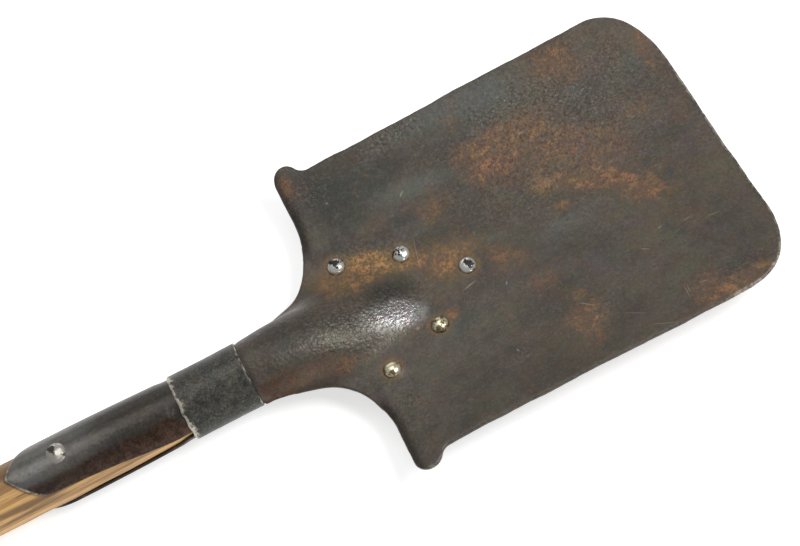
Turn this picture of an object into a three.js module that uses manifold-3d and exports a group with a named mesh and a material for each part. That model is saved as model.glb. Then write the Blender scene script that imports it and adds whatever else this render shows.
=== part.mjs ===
import * as THREE from "three";
import { mergeVertices } from "three/addons/utils/BufferGeometryUtils.js";
import Module from "manifold-3d";

// A fixed-blade entrenching spade, in millimetres. Every shape is made round the handle's axis: X is 0 at
// the blade's shoulders and grows towards its far end, Y runs across the blade, and +Z is its hollow front.
// The group at the end of the file moves the origin to the middle of the bottom of the spade's box.

// Driving dimensions.
const BLADE_LENGTH = 180.7; // shoulders to the far edge, on the middle line
const BLADE_HALF_WIDTH = 75;
const HANDLE_LENGTH = 320; // shoulders to the butt face
const SHAFT_RADIUS = 13.65;
const KNOB_RADIUS = 20;
const BUTT_RADIUS = 10; // the flat disc on the end of the knob
const BLADE_SHEET = 2;
const STRAP_SHEET = 1.4;
const COLLAR_SHEET = 0.9;
const GAP = 0.3; // between pieces that touch on the real spade

// The blade's sheet, as pressed.
const BLADE_LEVEL = -3.4; // front face beside the ridge, at the shoulders, measured from the handle's axis
const BLADE_LIFT = 0.016; // rise per millimetre towards the far end
const DISH_DEPTH = 7.5; // how far the side edges stand above the middle line
const END_SLANT = 0.0658; // the far edge is worn at a slant, longer at -Y
const LONG_CORNER_Y = -44; // where the slanted edge turns into the corner on its longer side
const EDGE_BEVEL = 9; // the far edge is ground thinner over this length
const EDGE_SHEET = 1.2;
const TREAD_RADIUS = 8.5; // the shoulders are rolled back to this radius, as treads for the foot
const TREAD_START = 5.4;
const TREAD_INNER = 35; // the roll fades in between these distances from the middle line
const TREAD_OUTER = 56;
const HORN_RADIUS = 6.4; // the rounded ends of the treads
const HORN_Y = 74.6;
const NOTCH_RADIUS = 6; // between a horn and the side edge

// The socket: the blade's tongue in front and a strap behind, held by a collar.
const TONGUE_TIP = -160;
const TONGUE_SHOULDER = -144.5; // where the pointed tip reaches its full width
const STRAP_SHOULDER = -138.5;
const COLLAR_START = -79.6;
const COLLAR_END = -46.6;
const COLLAR_RADIUS = 14.9;
const NECK_START = COLLAR_END - 2.4; // the neck begins inside the collar
const NECK_OPENS = COLLAR_END + GAP; // and widens outside it
const NECK_HALF_WIDTH = 17.2; // where the neck's edge starts to flare
const FLARE_LENGTH = 32; // the flare is a quarter of an ellipse
const FLARE_WIDTH = 39;

// Rivets.
const BLADE_RIVETS = [[7.8, 27.7], [9.4, -29], [35.5, 18.6], [36.4, -20.4], [58.8, -1]];
const RIVET_HEAD_RADIUS = 3.9;
const RIVET_HEAD_HEIGHT = 2.3;
const RIVET_SHANK_RADIUS = 2.4;
const RIVET_TAIL_HEIGHT = 1.1;
const HANDLE_RIVET = [-134.8, 0.7];
const HANDLE_RIVET_HEAD_RADIUS = 4.7;
const HANDLE_RIVET_HEAD_HEIGHT = 1.3;

const wasm = await Module();
wasm.setup();

// A smooth function through [x, value] stations that never overshoots them and is level at both ends.
function profile(stations) {
  const last = stations.length - 1;
  const rise = (i) => (stations[i + 1][1] - stations[i][1]) / (stations[i + 1][0] - stations[i][0]);
  const slopes = stations.map((station, i) => {
    if (i === 0 || i === last) return 0;
    const [before, after] = [rise(i - 1), rise(i)];
    return before * after <= 0 ? 0 : (2 * before * after) / (before + after);
  });
  return (x) => {
    if (x <= stations[0][0]) return stations[0][1];
    if (x >= stations[last][0]) return stations[last][1];
    const i = stations.findIndex((station) => station[0] > x) - 1;
    const [x0, y0] = stations[i];
    const [x1, y1] = stations[i + 1];
    const t = (x - x0) / (x1 - x0);
    const bend = (slopes[i] * (1 - t) - slopes[i + 1] * t) * (x1 - x0) * t * (1 - t);
    return y0 + (y1 - y0) * t * t * (3 - 2 * t) + bend;
  };
}

// Even numbers from low to high, both included.
function divide(low, high, count) {
  return Array.from({ length: count + 1 }, (_, i) => low + ((high - low) * i) / count);
}

function steps(low, high, size) {
  return divide(low, high, Math.max(1, Math.round((high - low) / size)));
}

function ease(low, high, x) {
  return THREE.MathUtils.smoothstep(x, low, high);
}

// Socket sizes along X. The tube is what the tongue and the rear strap make together.
const tubeRadius = profile([[-160, 15.1], [-146, 15.1], [-86, 14.25], [-81, 13.7], [NECK_START, 13.7]]);
const tongueAngle = profile([[-146, 57], [-120, 60], [-80, 82], [-70, 84], [-50, 100]]);
const strapAngle = profile([[-146, 57], [-120, 60], [-80, 82], [-70, 82], [-51, 60]]);
const ridgeRadius = profile([[-49, 13.8], [NECK_OPENS, 13.8], [-45, 14.4], [-36, 15.6], [-24, 17.2],
  [-10, 20], [0, 24], [10, 29], [20, 36], [28, 46], [34, 60], [44, 300]]);
const ridgeRise = profile([[-49, 17.9], [NECK_OPENS, 17.9], [-45, 18.5], [-36, 18.5], [-24, 17.2],
  [-10, 14.2], [0, 11], [10, 7.8], [20, 4.8], [28, 2.4], [33, 0.9], [37, 0.12], [42, 0.05]]);
const backRise = profile([[-49, 6.3], [NECK_OPENS, 6.3], [-45, 6.9], [-36, 7], [-24, 6.3], [-10, 4.6], [0, 3],
  [12, 1.2], [22, 0.3], [30, 0.05]]);
const ridgeFillet = profile([[-49, 1.5], [-36, 3.5], [-24, 8], [-10, 15], [0, 17], [10, 16],
  [20, 27]]);

// Height of the blade's front face beside the ridge.
function bladeHeight(x, y) {
  const dish = DISH_DEPTH * (y / BLADE_HALF_WIDTH) ** 2;
  const roll = Math.min(Math.max(TREAD_START - x, 0), 0.88 * TREAD_RADIUS);
  const drop = TREAD_RADIUS - Math.sqrt(TREAD_RADIUS ** 2 - roll ** 2);
  return BLADE_LEVEL + BLADE_LIFT * x + dish - drop * ease(TREAD_INNER, TREAD_OUTER, Math.abs(y));
}

function bladeSheet(x, y) {
  const endX = BLADE_LENGTH - END_SLANT * y;
  const thick = THREE.MathUtils.lerp(STRAP_SHEET, BLADE_SHEET, ease(-46, -10, x));
  return THREE.MathUtils.lerp(thick, EDGE_SHEET, ease(endX - EDGE_BEVEL, endX + 2, x));
}

// A solid from rows of points and the triangles between them, three numbers each, which face outwards.
function gridSolid(rows, triangles) {
  const geometry = new THREE.BufferGeometry();
  const points = rows.flat().flatMap((point) => point.toArray());
  geometry.setAttribute("position", new THREE.Float32BufferAttribute(points, 3));
  geometry.setIndex(triangles);
  return solidOf(geometry);
}

function solidOf(geometry, matrix = new THREE.Matrix4()) {
  const bare = geometry.clone().applyMatrix4(matrix);
  bare.deleteAttribute("normal");
  bare.deleteAttribute("uv");
  const merged = mergeVertices(bare, 1e-4);
  return new wasm.Manifold(new wasm.Mesh({
    numProp: 3,
    vertProperties: merged.attributes.position.array,
    triVerts: new Uint32Array(merged.index.array),
  }));
}

// A sheet of metal: rows of points on its outer face, thickened inwards by thickness(point).
function sheetSolid(rows, thickness) {
  const deep = rows.length;
  const wide = rows[0].length;
  const inner = rows.map((row, i) => row.map((point, j) => {
    const along = rows[Math.min(i + 1, deep - 1)][j].clone().sub(rows[Math.max(i - 1, 0)][j]);
    const across = row[Math.min(j + 1, wide - 1)].clone().sub(row[Math.max(j - 1, 0)]);
    return along.cross(across).setLength(-thickness(point)).add(point);
  }));
  const triangles = [];
  const quad = (a, b, c, d) => triangles.push(a, b, c, a, c, d);
  const outerAt = (i, j) => i * wide + j;
  const innerAt = (i, j) => (deep + i) * wide + j;
  for (let i = 0; i < deep - 1; i++) {
    for (let j = 0; j < wide - 1; j++) {
      quad(outerAt(i, j), outerAt(i + 1, j), outerAt(i + 1, j + 1), outerAt(i, j + 1));
      quad(innerAt(i, j), innerAt(i, j + 1), innerAt(i + 1, j + 1), innerAt(i + 1, j));
    }
  }
  for (let i = 0; i < deep - 1; i++) {
    quad(outerAt(i, 0), innerAt(i, 0), innerAt(i + 1, 0), outerAt(i + 1, 0));
    quad(outerAt(i, wide - 1), outerAt(i + 1, wide - 1), innerAt(i + 1, wide - 1), innerAt(i, wide - 1));
  }
  for (let j = 0; j < wide - 1; j++) {
    quad(outerAt(0, j), outerAt(0, j + 1), innerAt(0, j + 1), innerAt(0, j));
    quad(outerAt(deep - 1, j), innerAt(deep - 1, j), innerAt(deep - 1, j + 1), outerAt(deep - 1, j + 1));
  }
  return gridSolid([...rows, ...inner], triangles);
}

// Half of a tube's outer face with a pointed tip, from the tip to the collar. It reaches its full width at
// the shoulder.
function tongueRows(angle, shoulder) {
  const stations = [...divide(TONGUE_TIP, shoulder, 10), ...steps(-134, -88, 10), ...steps(-86, -80, 2),
    -65, NECK_START + 1.5];
  return stations.map((x) => {
    const t = Math.min((x - TONGUE_TIP) / (shoulder - TONGUE_TIP), 1);
    const half = THREE.MathUtils.degToRad(angle(x)) * Math.max(1 - (1 - t) ** 1.6, 0.03);
    return divide(-half, half, 18).map((a) =>
      new THREE.Vector3(x, tubeRadius(x) * Math.sin(a), tubeRadius(x) * Math.cos(a)));
  });
}

// The outer face of a plate with a ridge along its middle line. level(x, y) is the plate's height, and the
// ridge is an arc that stands rise(x) above it and runs out into it through a fillet.
function ridgedRows(stations, level, rise, reach, flatColumns) {
  return stations.map((x) => {
    const radius = ridgeRadius(x);
    const fillet = ridgeFillet(x);
    const centre = rise(x) - radius;
    const footY = Math.sqrt((radius + fillet) ** 2 - (fillet - centre) ** 2);
    const arc = Math.atan2(footY, fillet - centre);
    const half = [
      ...divide(0, arc, 8).slice(1).map((a) => [radius * Math.sin(a), centre + radius * Math.cos(a)]),
      ...divide(arc, 0, 3).slice(1).map((a) => [footY - fillet * Math.sin(a), fillet - fillet * Math.cos(a)]),
      ...divide(footY, reach, flatColumns).slice(1).map((y) => [y, 0]),
    ];
    const section = [...half.map(([y, z]) => [-y, z]).reverse(), [0, rise(x)], ...half];
    return section.map(([y, z]) => new THREE.Vector3(x, y, level(x, y) + z));
  });
}

// A plate's outline, seen from the front, as a prism that the plate is cut with.
function outlineSolid(shape) {
  const prism = new THREE.ExtrudeGeometry(shape, { depth: 80, bevelEnabled: false, curveSegments: 14 });
  return solidOf(prism, new THREE.Matrix4().makeTranslation(0, 0, -40));
}

// One side's edge from the collar outwards, for side = 1 or -1: neck, shoulder, horn, notch and side edge.
function shoulderCurve(side, sideEdge) {
  const path = new THREE.Path();
  const flareStart = -FLARE_LENGTH - 0.6;
  const flareTop = NECK_HALF_WIDTH + FLARE_WIDTH;
  const hornX = HORN_RADIUS - 0.6;
  const notchX = hornX + Math.sqrt((HORN_RADIUS + NOTCH_RADIUS) ** 2 - NOTCH_RADIUS ** 2);
  const flank = Math.atan2(NOTCH_RADIUS, notchX - hornX);
  path.moveTo(NECK_START - 2, 13.2);
  path.lineTo(NECK_OPENS, 13.2);
  path.lineTo(NECK_OPENS + GAP, 15.1);
  path.lineTo(-38, 16.6);
  path.lineTo(flareStart, NECK_HALF_WIDTH);
  path.absellipse(flareStart, flareTop, FLARE_LENGTH, FLARE_WIDTH, -Math.PI / 2, 0, false, 0);
  path.absarc(hornX, HORN_Y, HORN_RADIUS, Math.PI, flank, true);
  path.absarc(notchX, HORN_Y + NOTCH_RADIUS, NOTCH_RADIUS, Math.PI + flank, 1.5 * Math.PI, false);
  sideEdge.forEach(([x, y]) => path.lineTo(x, y));
  return path.getPoints(12).map((point) => new THREE.Vector2(point.x, side * point.y));
}

// The far end: each corner is one curve from the side edge into the slanted edge.
function bladeOutline() {
  const end = (y) => BLADE_LENGTH - END_SLANT * y;
  const shape = new THREE.Shape(shoulderCurve(1, [[34, 73.4], [90, 74.5], [150, BLADE_HALF_WIDTH]]));
  shape.bezierCurveTo(168, BLADE_HALF_WIDTH, 175.2, 62.5, end(37), 37);
  shape.lineTo(end(LONG_CORNER_Y), LONG_CORNER_Y);
  shape.bezierCurveTo(183.2, -66.5, 173, -75.8, 154, -75.4);
  const nearSide = shoulderCurve(-1, [[34, 73.9], [90, 74.2]]).reverse();
  nearSide.forEach((point) => shape.lineTo(point.x, point.y));
  return shape;
}

// The plate at the foot of the rear strap: it follows the neck, covers the rivets and ends in a round point.
function backPlateOutline() {
  const half = [[NECK_START - 2, 11.8], [NECK_OPENS, 11.8], [NECK_OPENS + GAP, 13.4], [-32, 14.4],
    [-22, 16.6], [-12, 22.5], [2, 32.4], [5, 35], [10, 35.6], [16, 34.6], [38, 27.6], [42, 25.8], [64, 6]];
  const shape = new THREE.Shape(half.map(([x, y]) => new THREE.Vector2(x, y)));
  shape.bezierCurveTo(67.6, 2.8, 67.6, -2.8, 64, -6);
  half.reverse().slice(1).forEach(([x, y]) => shape.lineTo(x, -y));
  return shape;
}

// A round or oval rod along X from rings {x, z, halfWidth, halfHeight}, closed with flat ends.
function rodSolid(rings, around) {
  const rows = rings.map(({ x, z, halfWidth, halfHeight }) =>
    Array.from({ length: around }, (_, j) => {
      const a = (2 * Math.PI * j) / around;
      return new THREE.Vector3(x, halfWidth * Math.cos(a), z + halfHeight * Math.sin(a));
    }));
  const last = rings.length - 1;
  const centres = [0, last].map((i) => [new THREE.Vector3(rings[i].x, 0, rings[i].z)]);
  const firstCentre = rings.length * around;
  const triangles = [];
  for (let j = 0; j < around; j++) {
    const next = (j + 1) % around;
    for (let i = 0; i < last; i++) {
      const [a, b, c, d] = [i * around + j, (i + 1) * around + j, (i + 1) * around + next, i * around + next];
      triangles.push(a, c, b, a, d, c);
    }
    triangles.push(firstCentre, next, j);
    triangles.push(firstCentre + 1, last * around + j, last * around + next);
  }
  return gridSolid([...rows, ...centres], triangles);
}

// The blade, the front of the neck and the tongue are one sheet.
function bladeSolid() {
  const stations = [NECK_START, NECK_OPENS, -45, ...steps(-41, -5, 4), ...steps(-2, 10, 2),
    ...steps(14, 42, 4), ...steps(56, 168, 14), 173, 178, BLADE_LENGTH + 6];
  const rows = ridgedRows(stations, bladeHeight, ridgeRise, 88, 9);
  const plate = sheetSolid(rows, (point) => bladeSheet(point.x, point.y));
  const tongue = sheetSolid(tongueRows(tongueAngle, TONGUE_SHOULDER), () => STRAP_SHEET);
  return plate.intersect(outlineSolid(bladeOutline())).add(tongue);
}

// The strap is worked out with its outer face up, and then turned over.
function strapSolid() {
  const underBlade = BLADE_SHEET + GAP + STRAP_SHEET;
  const neckEase = (x) => (BLADE_SHEET - STRAP_SHEET) * (1 - ease(-46, -10, x));
  const level = (x, y) => underBlade - neckEase(x) - BLADE_LEVEL - BLADE_LIFT * x
    - DISH_DEPTH * (y / BLADE_HALF_WIDTH) ** 2;
  const stations = [NECK_START, NECK_OPENS, -45, ...steps(-41, 31, 6), 40, 56, 72];
  const plate = sheetSolid(ridgedRows(stations, level, backRise, 42, 4), () => STRAP_SHEET);
  const tongue = sheetSolid(tongueRows(strapAngle, STRAP_SHOULDER), () => STRAP_SHEET);
  return plate.intersect(outlineSolid(backPlateOutline())).add(tongue).rotate([180, 0, 0]);
}

// The wood: butt disc, knob, shaft, the length under the straps, and a flattened end inside the ridge.
function handleSolid() {
  const knobCentre = Math.sqrt(KNOB_RADIUS ** 2 - BUTT_RADIUS ** 2) - HANDLE_LENGTH;
  const buttAngle = Math.atan2(-HANDLE_LENGTH - knobCentre, BUTT_RADIUS);
  const knobAngle = 0.62;
  const knobEnd = new THREE.Vector2(KNOB_RADIUS * Math.cos(knobAngle),
    knobCentre + KNOB_RADIUS * Math.sin(knobAngle));
  const tangent = new THREE.Vector2(-Math.sin(knobAngle), Math.cos(knobAngle));
  const outline = new THREE.Path();
  outline.absarc(0, knobCentre, KNOB_RADIUS, buttAngle, knobAngle, false);
  const leave = knobEnd.clone().addScaledVector(tangent, 7);
  outline.bezierCurveTo(leave.x, leave.y, 13.8, knobEnd.y + 14, 13.9, knobEnd.y + 44);
  outline.lineTo(13.9, -210);
  const round = outline.getPoints(8).map((point) => [point.y, point.x]);
  const under = (x) => tubeRadius(x) - STRAP_SHEET - GAP;
  const shaft = [[-190, SHAFT_RADIUS], [-166, SHAFT_RADIUS - 0.1],
    ...[-160, -140, -120, -100, -86, -81, -65, NECK_OPENS].map((x) => [x, under(x)])];
  const rings = [...round, ...shaft].map(([x, r]) => ({ x, z: 0, halfWidth: r, halfHeight: r }));
  const width = profile([[NECK_OPENS, under(NECK_OPENS)], [-36, 12.6], [-24, 12.8], [-10, 12], [0, 10.6],
    [10, 8], [16, 5]]);
  steps(-44, 15, 4).forEach((x) => {
    const top = bladeHeight(x, 0) + ridgeRise(x) - bladeSheet(x, 0) - GAP;
    const backLevel = bladeHeight(x, 0) - bladeSheet(x, 0) - GAP - STRAP_SHEET;
    const bottom = backLevel - backRise(x) + STRAP_SHEET + GAP;
    const rounding = Math.sqrt(1 - (Math.max(x - 3, 0) / 13) ** 2);
    rings.push({ x, z: (top + bottom) / 2, halfWidth: width(x) * rounding,
      halfHeight: ((top - bottom) / 2) * rounding });
  });
  return rodSolid(rings, 40);
}

// A rivet along +Z from its tail to its domed head. seat is the height of the head's underside, and tail
// that of the tail's upper side.
function rivetSolid(seat, tail, headRadius, headHeight) {
  const dome = (radius, height, base, sign) => {
    const sphere = (radius ** 2 + height ** 2) / (2 * height);
    const spread = Math.asin(radius / sphere);
    return divide(0, spread, 5).map((a) => new THREE.Vector2(
      sphere * Math.sin(a), base + sign * (sphere * Math.cos(a) - sphere + height)));
  };
  const outline = [
    ...dome(headRadius * 0.92, RIVET_TAIL_HEIGHT, tail, -1),
    new THREE.Vector2(RIVET_SHANK_RADIUS, tail),
    new THREE.Vector2(RIVET_SHANK_RADIUS, seat),
    ...dome(headRadius, headHeight, seat, 1).reverse(),
  ];
  outline[0].x = 0;
  outline[outline.length - 1].x = 0;
  const lathe = new THREE.LatheGeometry(outline, 24);
  return solidOf(lathe, new THREE.Matrix4().makeRotationX(Math.PI / 2));
}

function rivetHole(length) {
  const drill = new THREE.CylinderGeometry(RIVET_SHANK_RADIUS + GAP, RIVET_SHANK_RADIUS + GAP, length, 24);
  return solidOf(drill, new THREE.Matrix4().makeRotationX(Math.PI / 2));
}

// Where a blade rivet stands: on the front face, square to it.
function rivetPlacement([x, y]) {
  const slopeX = (bladeHeight(x + 1, y) - bladeHeight(x - 1, y)) / 2;
  const slopeY = (bladeHeight(x, y + 1) - bladeHeight(x, y - 1)) / 2;
  const normal = new THREE.Vector3(-slopeX, -slopeY, 1).normalize();
  const turn = new THREE.Quaternion().setFromUnitVectors(new THREE.Vector3(0, 0, 1), normal);
  return new THREE.Matrix4().compose(
    new THREE.Vector3(x, y, bladeHeight(x, y)), turn, new THREE.Vector3(1, 1, 1));
}

function placed(solid, matrix) {
  return solid.transform(matrix.elements);
}

function collarSolid() {
  const [inner, outer] = [COLLAR_RADIUS - COLLAR_SHEET, COLLAR_RADIUS];
  const round = 0.3;
  const ring = [[inner, COLLAR_START], [outer - round, COLLAR_START], [outer, COLLAR_START + round],
    [outer, COLLAR_END - round], [outer - round, COLLAR_END], [inner, COLLAR_END], [inner, COLLAR_START]];
  const lathe = new THREE.LatheGeometry(ring.map(([r, x]) => new THREE.Vector2(r, x)), 72);
  return solidOf(lathe, new THREE.Matrix4().makeRotationZ(-Math.PI / 2));
}

function metal(color, roughness) {
  return new THREE.MeshStandardMaterial({ color, roughness, metalness: 0.9 });
}

const darkSteel = () => metal(0x4f4a45, 0.55);
const wornSteel = () => metal(0x6a6862, 0.5);
const brightSteel = () => metal(0xb9b6ac, 0.3);
const dullBrass = () => metal(0x9a8d66, 0.45);
const darkIron = () => metal(0x3c3431, 0.5);
const wood = () => new THREE.MeshStandardMaterial({ color: 0xb08a58, roughness: 0.65, metalness: 0 });

const spade = new THREE.Group();
// The box's middle, and the knob's lowest point.
const middleX = (BLADE_LENGTH - END_SLANT * LONG_CORNER_Y - HANDLE_LENGTH) / 2;

function addPiece(name, solid, material) {
  const mesh = solid.getMesh();
  const geometry = new THREE.BufferGeometry();
  geometry.setAttribute("position", new THREE.BufferAttribute(mesh.vertProperties, 3));
  geometry.setIndex(new THREE.BufferAttribute(mesh.triVerts, 1));
  geometry.computeVertexNormals();
  const piece = new THREE.Mesh(geometry, material);
  piece.name = name;
  piece.position.set(-middleX, 0, KNOB_RADIUS);
  spade.add(piece);
}

const rivetPlacements = BLADE_RIVETS.map(rivetPlacement);
const handleRivetPlacement = new THREE.Matrix4().makeTranslation(...HANDLE_RIVET, 0);
const bladeDrills = rivetPlacements.map((matrix) => placed(rivetHole(24), matrix));
const handleDrill = placed(rivetHole(60), handleRivetPlacement);
const drilled = (solid, drills) => drills.reduce((left, drill) => left.subtract(drill), solid);

addPiece("blade", drilled(bladeSolid(), [...bladeDrills, handleDrill]), darkSteel());
addPiece("rear_strap", drilled(strapSolid(), [...bladeDrills, handleDrill]), darkIron());
addPiece("collar", collarSolid(), wornSteel());
addPiece("handle", handleSolid().subtract(handleDrill), wood());

const rivetTail = -(BLADE_SHEET + STRAP_SHEET + 3 * GAP);
BLADE_RIVETS.forEach(([, y], i) => {
  const rivet = rivetSolid(GAP, rivetTail, RIVET_HEAD_RADIUS, RIVET_HEAD_HEIGHT);
  addPiece(`blade_rivet_${i + 1}`, placed(rivet, rivetPlacements[i]), y < 0 ? dullBrass() : brightSteel());
});
const strapFace = tubeRadius(HANDLE_RIVET[0]) + GAP;
addPiece("handle_rivet",
  placed(rivetSolid(strapFace, -strapFace, HANDLE_RIVET_HEAD_RADIUS, HANDLE_RIVET_HEAD_HEIGHT),
    handleRivetPlacement), brightSteel());

export default spade;
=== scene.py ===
"""An entrenching spade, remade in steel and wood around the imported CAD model."""
import math
from collections import namedtuple
from types import SimpleNamespace

import bpy
import numpy as np
from mathutils import Matrix, Vector, geometry


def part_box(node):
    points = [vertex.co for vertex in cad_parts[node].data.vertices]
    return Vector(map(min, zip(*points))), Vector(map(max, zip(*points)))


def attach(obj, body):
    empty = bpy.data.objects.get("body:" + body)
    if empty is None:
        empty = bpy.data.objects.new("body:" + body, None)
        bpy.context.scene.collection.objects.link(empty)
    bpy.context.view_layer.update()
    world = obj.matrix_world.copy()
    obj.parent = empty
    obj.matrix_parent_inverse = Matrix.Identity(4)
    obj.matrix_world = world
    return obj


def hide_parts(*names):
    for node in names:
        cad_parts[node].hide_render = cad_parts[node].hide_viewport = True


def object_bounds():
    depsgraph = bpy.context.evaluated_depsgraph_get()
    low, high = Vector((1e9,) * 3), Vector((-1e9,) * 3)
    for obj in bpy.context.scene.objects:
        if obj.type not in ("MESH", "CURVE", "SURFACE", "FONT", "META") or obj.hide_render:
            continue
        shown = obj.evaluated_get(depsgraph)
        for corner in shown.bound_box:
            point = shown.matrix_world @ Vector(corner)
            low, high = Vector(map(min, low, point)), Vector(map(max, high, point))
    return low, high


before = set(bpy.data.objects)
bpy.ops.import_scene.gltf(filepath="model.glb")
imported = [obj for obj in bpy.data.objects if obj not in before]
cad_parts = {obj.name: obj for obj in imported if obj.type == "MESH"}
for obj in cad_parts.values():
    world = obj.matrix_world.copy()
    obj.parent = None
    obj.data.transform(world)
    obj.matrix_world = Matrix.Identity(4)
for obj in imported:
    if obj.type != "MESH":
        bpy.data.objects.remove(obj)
cad_low, cad_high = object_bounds()

MM = 0.001
collar_low, collar_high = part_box("collar")
blade_low, blade_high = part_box("blade")
handle_low, handle_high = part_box("handle")
COLLAR_END = -46.6  # millimetres from the shoulders along the handle, as every x below
SHOULDER_X = collar_high.x - COLLAR_END * MM
AXIS_Z = (collar_low.z + collar_high.z) / 2
COLLAR_START = COLLAR_END - (collar_high.x - collar_low.x) / MM
COLLAR_RADIUS = (collar_high.z - collar_low.z) / 2 / MM
BUTT_X = (handle_low.x - SHOULDER_X) / MM
TIP_X = (blade_low.x - SHOULDER_X) / MM
KNOB_RADIUS = (handle_high.z - handle_low.z) / 2 / MM
BUTT_RADIUS = 10.0

ROLL = math.radians(27)  # how far the camera stands round the handle from straight above the blade

BLADE_LENGTH = 180.7
HALF_WIDTH = 75.0
BLADE_SHEET = 2.0
STRAP_SHEET = 1.4
EDGE_SHEET = 1.2
EDGE_BEVEL = 9.0
END_SLANT = 0.0658
BLADE_LEVEL = -3.4
BLADE_LIFT = 0.016
DISH_DEPTH = 7.5
TREAD_RADIUS = 8.5
TREAD_START = 5.4
TREAD_FADE = (35.0, 56.0)
NOTCH_RADIUS = 6.0
NECK_OPENS = -46.3
NECK_HALF_WIDTH = 17.2
# How much further out each neck edge stands than a plain arc, as (x, distance) stations.
UPPER_SWELL = ((-46, 0.7), (-25, 1.4), (-14, -0.6), (-7, -1.0), (0, 0))
LOWER_SWELL = ((-46, 0.1), (-36, 0.4), (-25, 1.8), (-10, -0.3), (-4, -0.9), (0, 0))
FLARE = (32.0, 39.0)
TONGUE_SHOULDER = -144.5
BLADE_RIVETS = ((7.8, 27.7), (9.4, -29.0), (35.5, 18.6), (36.4, -20.4), (58.8, -1.0))
HANDLE_RIVET = (-134.8, 0.7)


def profile(*stations):
    """A smooth function through (x, value) stations, without overshoot and level at both ends."""
    xs = np.array([s[0] for s in stations], float)
    ys = np.array([s[1] for s in stations], float)
    rise = np.diff(ys) / np.diff(xs)
    slopes = np.zeros(len(xs))
    same = rise[:-1] * rise[1:] > 0
    slopes[1:-1][same] = 2 * rise[:-1][same] * rise[1:][same] / (rise[:-1][same] + rise[1:][same])

    def value(x):
        x = np.clip(np.asarray(x, float), xs[0], xs[-1])
        i = np.clip(np.searchsorted(xs, x, side="right") - 1, 0, len(xs) - 2)
        width = xs[i + 1] - xs[i]
        t = (x - xs[i]) / width
        bend = (slopes[i] * (1 - t) - slopes[i + 1] * t) * width * t * (1 - t)
        return ys[i] + (ys[i + 1] - ys[i]) * t * t * (3 - 2 * t) + bend

    return value


def ease(low, high, x):
    t = np.clip((np.asarray(x, float) - low) / (high - low), 0, 1)
    return t * t * (3 - 2 * t)


def wobble(x, y, size, seed):
    """A smooth irregular wave, between about -1 and 1, with features of about the given size."""
    random = np.random.default_rng(seed)
    total = 0.0
    for _ in range(7):
        angle = random.uniform(0, math.pi)
        pitch = 2 * math.pi / size * random.uniform(0.5, 1.6)
        shift = random.uniform(0, 2 * math.pi)
        total = total + np.sin(pitch * (math.cos(angle) * x + math.sin(angle) * y) + shift)
    return total / 3.2


# The socket and handle are not quite straight: how far their middle lies to the upper side of the picture.
crook = profile((-290, 0), (-200, 0.55), (-165, 0.5), (-63, -0.27), (-40, -0.27), (5, 0))


def row_frame(points):
    """Millimetres round the handle's axis to metres in the row's frame."""
    points = np.asarray(points, float)
    side = np.array([0.0, math.cos(ROLL), math.sin(ROLL)])
    bent = points + crook(points[:, 0])[:, None] * side
    return bent * MM + np.array([SHOULDER_X, 0.0, AXIS_Z])


def painted_shade_side(x, y, z):
    """How far a point of the socket lies on its side away from the lights, where shade is painted into its
    colour, from 0 to 1.
    """
    height = y * math.cos(ROLL) + z * math.sin(ROLL) + 6 * ease(-86, -78, x)
    strength = 0.35 * ease(0, -16, x) + 0.45 * ease(-20, -44, x) + 0.2 * ease(-78, -86, x)
    return ease(2.2, -3.0, height) * strength


# The socket's sections: as in the CAD model, but with the pieces closer together.
tube_radius = profile((-160, 15.35), (-140, 15.35), (-86, 14.5), (-81, 14.0), (NECK_OPENS, 13.9))
tongue_angle = profile((-146, 57), (-120, 62), (-84, 80), (-70, 84), (-47, 98))
strap_angle = profile((-146, 61), (-112, 63), (-92, 72), (-80, 84), (-70, 82), (-47, 60))
ridge_radius = profile((-49, 13.9), (NECK_OPENS, 13.9), (-45, 14.4), (-36, 15.6), (-24, 17.2), (-10, 20),
                       (0, 24), (10, 29), (20, 36), (28, 46), (34, 60), (44, 300))
ridge_rise = profile((NECK_OPENS, 18.04), (-45, 18.5), (-36, 18.5), (-24, 17.2), (-10, 14.2), (0, 11),
                     (10, 7.8), (20, 4.8), (28, 2.4), (33, 0.9), (37, 0.12), (42, 0.05))
ridge_fillet = profile((-49, 1.5), (-36, 3.5), (-24, 8), (-10, 15), (0, 20), (20, 27))
back_rise = profile((NECK_OPENS, 6.86), (-45, 7), (-36, 7.05), (-24, 6.3), (-10, 4.6), (0, 3), (12, 1.2),
                    (22, 0.3), (30, 0.05))


def dish(y):
    """How far the blade curves up towards its sides."""
    return DISH_DEPTH * (y / HALF_WIDTH) ** 2


def end_x(y):
    """The worn far edge, which lies at a slant."""
    return BLADE_LENGTH - END_SLANT * y


def blade_height(x, y):
    """Height of the blade's front face beside the ridge, over the handle's axis."""
    roll = np.clip(TREAD_START - x, 0, 0.88 * TREAD_RADIUS)
    drop = TREAD_RADIUS - np.sqrt(TREAD_RADIUS ** 2 - roll ** 2)
    dents = 0.22 * wobble(x, y, 55, 3) + 0.07 * wobble(x, y, 17, 4)
    return (BLADE_LEVEL + BLADE_LIFT * x + dish(y) - drop * ease(*TREAD_FADE, np.abs(y))
            + dents * ease(20, 60, x + np.abs(y)))


def blade_sheet(x, y):
    """The blade's thickness: thinner in the tongue, and worn thin at the far edge."""
    thick = STRAP_SHEET + (BLADE_SHEET - STRAP_SHEET) * ease(-46, -10, x)
    return thick + (EDGE_SHEET - thick) * ease(end_x(y) - EDGE_BEVEL, end_x(y) + 2, x)


def back_height(x, y):
    """Height of the back plate's outer face, turned over so that it faces up."""
    thinner = (BLADE_SHEET - STRAP_SHEET) * (1 - ease(-46, -10, x))
    return BLADE_SHEET + 0.1 + STRAP_SHEET - thinner - BLADE_LEVEL - BLADE_LIFT * x - dish(y)


def strap_sheet(x, y):
    return np.full_like(x, STRAP_SHEET)


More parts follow.
